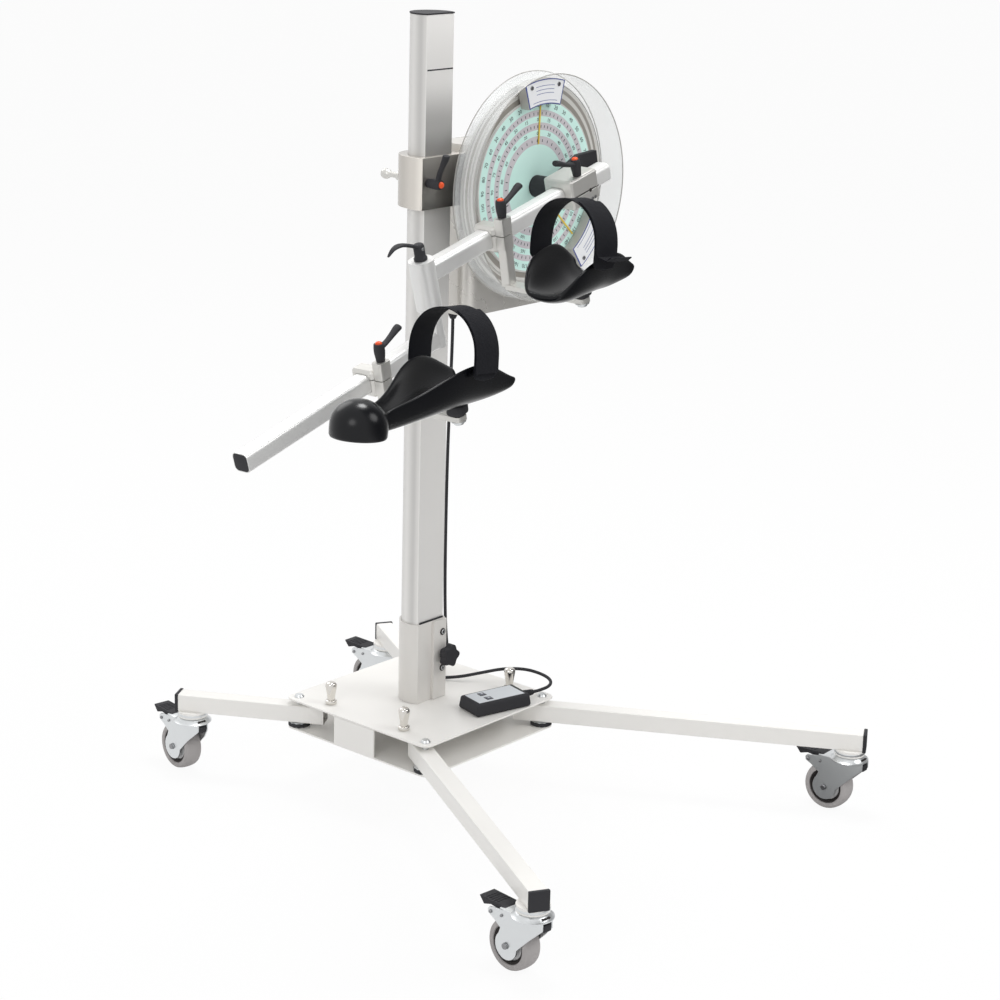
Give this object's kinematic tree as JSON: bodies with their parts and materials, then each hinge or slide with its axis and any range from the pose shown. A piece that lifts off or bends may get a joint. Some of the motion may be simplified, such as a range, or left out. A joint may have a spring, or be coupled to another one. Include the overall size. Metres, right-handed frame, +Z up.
{
  "type": "shoulder continuous passive motion machine",
  "caption": "Wheeled stand with a column, a height carriage, a motor housing with a clear-rimmed angle dial, and a jointed arm with strapped trough supports for the upper arm and forearm.",
  "frame": {"origin": "on the floor, on the axis of the column", "axes": "+Z up; the patient sits on the -Y side; +X to the right seen from the patient side"},
  "size_m": [1.0004, 1.0221, 1.282],
  "materials": {
    "paint": "satin light grey powder coat",
    "column_paint": "satin silver grey",
    "polished_metal": "polished",
    "aluminium": "satin anodised",
    "zinc": "bright zinc plate",
    "black_plastic": "matt black",
    "tyre_grey": "dark grey rubber tyre on a plastic centre",
    "pad_plastic": "smooth satin black moulding",
    "webbing": "woven black webbing",
    "clear_plastic": "clear",
    "dial_plastic": "printed turquoise and grey rings",
    "circuit_board": "green board",
    "motor_steel": "dark steel",
    "grey_plastic": "dark grey keys"
  },
  "bodies": {
    "base": {"bottom_plate": "paint", "top_plate": "paint", "column": "column_paint", "column_cap": "black_plastic", "column_sleeve": "paint", "handset": "black_plastic", "handset_cord": "black_plastic", "pivot_bolt_front_left": "zinc", "pivot_bolt_front_right": "zinc", "pivot_bolt_rear_left": "zinc", "pivot_bolt_rear_right": "zinc"},
    "leg_front_left": {"leg_front_left": "paint"},
    "index_pin_front_left": {"index_plunger_front_left": "polished_metal"},
    "castor_front_left": {"castor_fork_front_left": "zinc"},
    "wheel_front_left": {"wheel_front_left": "tyre_grey"},
    "pedal_front_left": {"brake_pedal_front_left": "black_plastic"},
    "leg_front_right": {"leg_front_right": "paint"},
    "index_pin_front_right": {"index_plunger_front_right": "polished_metal"},
    "castor_front_right": {"castor_fork_front_right": "zinc"},
    "wheel_front_right": {"wheel_front_right": "tyre_grey"},
    "pedal_front_right": {"brake_pedal_front_right": "black_plastic"},
    "leg_rear_left": {"leg_rear_left": "paint"},
    "index_pin_rear_left": {"index_plunger_rear_left": "polished_metal"},
    "castor_rear_left": {"castor_fork_rear_left": "zinc"},
    "wheel_rear_left": {"wheel_rear_left": "tyre_grey"},
    "pedal_rear_left": {"brake_pedal_rear_left": "black_plastic"},
    "leg_rear_right": {"leg_rear_right": "paint"},
    "index_pin_rear_right": {"index_plunger_rear_right": "polished_metal"},
    "castor_rear_right": {"castor_fork_rear_right": "zinc"},
    "wheel_rear_right": {"wheel_rear_right": "tyre_grey"},
    "pedal_rear_right": {"brake_pedal_rear_right": "black_plastic"},
    "sleeve_knob": {"sleeve_knob": "black_plastic"},
    "carriage": {"carriage": "polished_metal", "housing": "paint", "housing_back_cover": "paint", "gear_motor": "motor_steel", "control_board": "circuit_board", "cord_gland": "black_plastic", "clear_pan": "clear_plastic", "scale_dial": "dial_plastic"},
    "carriage_lever": {"carriage_lever": "black_plastic"},
    "carriage_plunger": {"carriage_plunger": "polished_metal"},
    "drive": {"drive_shaft": "black_plastic", "main_clamp": "aluminium"},
    "stop_top": {"stop_block_top": "aluminium"},
    "stop_low": {"stop_block_low": "aluminium"},
    "main_lever": {"main_lever": "black_plastic"},
    "upper_tube": {"upper_tube": "aluminium"},
    "elbow_lever": {"elbow_lever": "black_plastic"},
    "lower_tube": {"lower_tube": "aluminium"},
    "upper_clamp": {"upper_pad_clamp": "aluminium"},
    "upper_pad_lever": {"upper_pad_lever": "black_plastic"},
    "upper_pad": {"upper_arm_pad": "pad_plastic", "upper_arm_strap": "webbing"},
    "forearm_clamp": {"forearm_pad_clamp": "aluminium"},
    "forearm_pad_lever": {"forearm_pad_lever": "black_plastic"},
    "forearm_pad": {"forearm_pad": "pad_plastic", "forearm_strap": "webbing"},
    "button_up": {"handset_button_up": "grey_plastic"},
    "button_down": {"handset_button_down": "grey_plastic"}
  },
  "joints": [
    {"name": "leg_swing_front_left", "type": "hinge", "parent": "base", "child": "leg_front_left", "pos_m": [-0.143, -0.143, 0], "axis": [0, 0, 1], "range_deg": [0, 30]},
    {"name": "index_pin_lift_front_left", "type": "slide", "parent": "base", "child": "index_pin_front_left", "axis": [0, 0, 1], "range_m": [0, 0.008], "stiffness_N_per_m": 300, "springref_m": -0.006},
    {"name": "castor_swivel_front_left", "type": "hinge", "parent": "leg_front_left", "child": "castor_front_left", "pos_m": [-0.4015, -0.59074, 0], "axis": [0, 0, 1], "continuous": true},
    {"name": "wheel_spin_front_left", "type": "hinge", "parent": "castor_front_left", "child": "wheel_front_left", "pos_m": [-0.39837, -0.55638, 0.04], "axis": [0.9959, -0.0906, 0], "continuous": true},
    {"name": "brake_press_front_left", "type": "hinge", "parent": "castor_front_left", "child": "pedal_front_left", "pos_m": [-0.39837, -0.55638, 0.089], "axis": [-0.9959, 0.0906, 0], "range_deg": [0, 8]},
    {"name": "leg_swing_front_right", "type": "hinge", "parent": "base", "child": "leg_front_right", "pos_m": [0.143, -0.143, 0], "axis": [0, 0, -1], "range_deg": [0, 30]},
    {"name": "index_pin_lift_front_right", "type": "slide", "parent": "base", "child": "index_pin_front_right", "axis": [0, 0, 1], "range_m": [0, 0.008], "stiffness_N_per_m": 300, "springref_m": -0.006},
    {"name": "castor_swivel_front_right", "type": "hinge", "parent": "leg_front_right", "child": "castor_front_right", "pos_m": [0.4015, -0.59074, 0], "axis": [0, 0, 1], "continuous": true},
    {"name": "wheel_spin_front_right", "type": "hinge", "parent": "castor_front_right", "child": "wheel_front_right", "pos_m": [0.39927, -0.55631, 0.04], "axis": [0.9979, 0.0645, 0], "continuous": true},
    {"name": "brake_press_front_right", "type": "hinge", "parent": "castor_front_right", "child": "pedal_front_right", "pos_m": [0.39927, -0.55631, 0.089], "axis": [-0.9979, -0.0645, 0], "range_deg": [0, 8]},
    {"name": "leg_swing_rear_left", "type": "hinge", "parent": "base", "child": "leg_rear_left", "pos_m": [-0.143, 0.143, 0], "axis": [0, 0, -1], "range_deg": [0, 30]},
    {"name": "index_pin_lift_rear_left", "type": "slide", "parent": "base", "child": "index_pin_rear_left", "axis": [0, 0, 1], "range_m": [0, 0.008], "stiffness_N_per_m": 300, "springref_m": -0.006},
    {"name": "castor_swivel_rear_left", "type": "hinge", "parent": "leg_rear_left", "child": "castor_rear_left", "pos_m": [-0.2355, 0.30322, 0], "axis": [0, 0, 1], "continuous": true},
    {"name": "wheel_spin_rear_left", "type": "hinge", "parent": "castor_rear_left", "child": "wheel_rear_left", "pos_m": [-0.231, 0.33742, 0.04], "axis": [0.9914, -0.1305, 0], "continuous": true},
    {"name": "brake_press_rear_left", "type": "hinge", "parent": "castor_rear_left", "child": "pedal_rear_left", "pos_m": [-0.231, 0.33742, 0.089], "axis": [-0.9914, 0.1305, 0], "range_deg": [0, 8]},
    {"name": "leg_swing_rear_right", "type": "hinge", "parent": "base", "child": "leg_rear_right", "pos_m": [0.143, 0.143, 0], "axis": [0, 0, 1], "range_deg": [0, 30]},
    {"name": "index_pin_lift_rear_right", "type": "slide", "parent": "base", "child": "index_pin_rear_right", "axis": [0, 0, 1], "range_m": [0, 0.008], "stiffness_N_per_m": 300, "springref_m": -0.006},
    {"name": "castor_swivel_rear_right", "type": "hinge", "parent": "leg_rear_right", "child": "castor_rear_right", "pos_m": [0.2355, 0.30322, 0], "axis": [0, 0, 1], "continuous": true},
    {"name": "wheel_spin_rear_right", "type": "hinge", "parent": "castor_rear_right", "child": "wheel_rear_right", "pos_m": [0.2355, 0.33771, 0.04], "axis": [1, 0, 0], "continuous": true},
    {"name": "brake_press_rear_right", "type": "hinge", "parent": "castor_rear_right", "child": "pedal_rear_right", "pos_m": [0.2355, 0.33771, 0.089], "axis": [-1, 0, 0], "range_deg": [0, 8]},
    {"name": "sleeve_knob_turn", "type": "hinge", "parent": "base", "child": "sleeve_knob", "pos_m": [0.024, -0.0262, 0.23], "axis": [0, -1, 0], "range_deg": [-180, 180]},
    {"name": "carriage_height", "type": "slide", "parent": "base", "child": "carriage", "axis": [0, 0, 1], "range_m": [-0.3, 0.2], "deforming": ["handset_cord"]},
    {"name": "carriage_lever_turn", "type": "hinge", "parent": "carriage", "child": "carriage_lever", "pos_m": [-0.037, -0.0303, 1.023], "axis": [0, -1, 0], "range_deg": [-40, 40]},
    {"name": "carriage_plunger_pull", "type": "slide", "parent": "carriage", "child": "carriage_plunger", "axis": [0, 1, 0], "range_m": [0, 0.006], "stiffness_N_per_m": 400, "springref_m": -0.006},
    {"name": "drive_turn", "type": "hinge", "parent": "carriage", "child": "drive", "pos_m": [0.1853, 0, 0.9996], "axis": [0, -1, 0], "range_deg": [-38, 60]},
    {"name": "stop_top_turn", "type": "hinge", "parent": "carriage", "child": "stop_top", "pos_m": [0.1853, 0, 0.9996], "axis": [0, -1, 0], "range_deg": [-50, 60]},
    {"name": "stop_low_turn", "type": "hinge", "parent": "carriage", "child": "stop_low", "pos_m": [0.1853, 0, 0.9996], "axis": [0, -1, 0], "range_deg": [-60, 30]},
    {"name": "main_lever_turn", "type": "hinge", "parent": "drive", "child": "main_lever", "pos_m": [0.17858, -0.153, 1.02814], "axis": [-0.2622, 0, 0.965], "range_deg": [-40, 40]},
    {"name": "upper_tube_slide", "type": "slide", "parent": "drive", "child": "upper_tube", "axis": [0.965, 0, 0.2622], "range_m": [-0.05, 0.06]},
    {"name": "elbow_lever_turn", "type": "hinge", "parent": "upper_tube", "child": "elbow_lever", "pos_m": [-0.15786, -0.13, 0.93155], "axis": [-0.2622, 0, 0.965], "range_deg": [-60, 60]},
    {"name": "elbow_turn", "type": "hinge", "parent": "upper_tube", "child": "lower_tube", "pos_m": [-0.15149, -0.13, 0.9081], "axis": [-0.2622, 0, 0.965], "range_deg": [-70, 20]},
    {"name": "upper_clamp_slide", "type": "slide", "parent": "upper_tube", "child": "upper_clamp", "axis": [0.965, 0, 0.2622], "range_m": [-0.08, 0.06]},
    {"name": "upper_pad_lever_turn", "type": "hinge", "parent": "upper_clamp", "child": "upper_pad_lever", "pos_m": [-0.00855, -0.16, 0.9829], "axis": [-0.1908, 0, 0.9816], "range_deg": [-40, 40]},
    {"name": "upper_pad_swivel", "type": "hinge", "parent": "upper_clamp", "child": "upper_pad", "pos_m": [0.01177, -0.306, 0.87835], "axis": [-0.1908, 0, 0.9816], "range_deg": [-30, 30]},
    {"name": "forearm_clamp_slide", "type": "slide", "parent": "lower_tube", "child": "forearm_clamp", "axis": [0.9621, 0.0349, 0.2704], "range_m": [-0.2, 0.09]},
    {"name": "forearm_pad_lever_turn", "type": "hinge", "parent": "forearm_clamp", "child": "forearm_pad_lever", "pos_m": [-0.27898, -0.1653, 0.80025], "axis": [-0.1909, 0.0026, 0.9816], "range_deg": [-40, 40]},
    {"name": "forearm_pad_swivel", "type": "hinge", "parent": "forearm_clamp", "child": "forearm_pad", "pos_m": [-0.26272, -0.30537, 0.74214], "axis": [-0.1909, 0.0026, 0.9816], "range_deg": [-30, 30]},
    {"name": "button_up_press", "type": "slide", "parent": "base", "child": "button_up", "axis": [0, 0, -1], "range_m": [0, 0.001], "stiffness_N_per_m": 300, "springref_m": -0.001},
    {"name": "button_down_press", "type": "slide", "parent": "base", "child": "button_down", "axis": [0, 0, -1], "range_m": [0, 0.001], "stiffness_N_per_m": 300, "springref_m": -0.001}
  ]
}
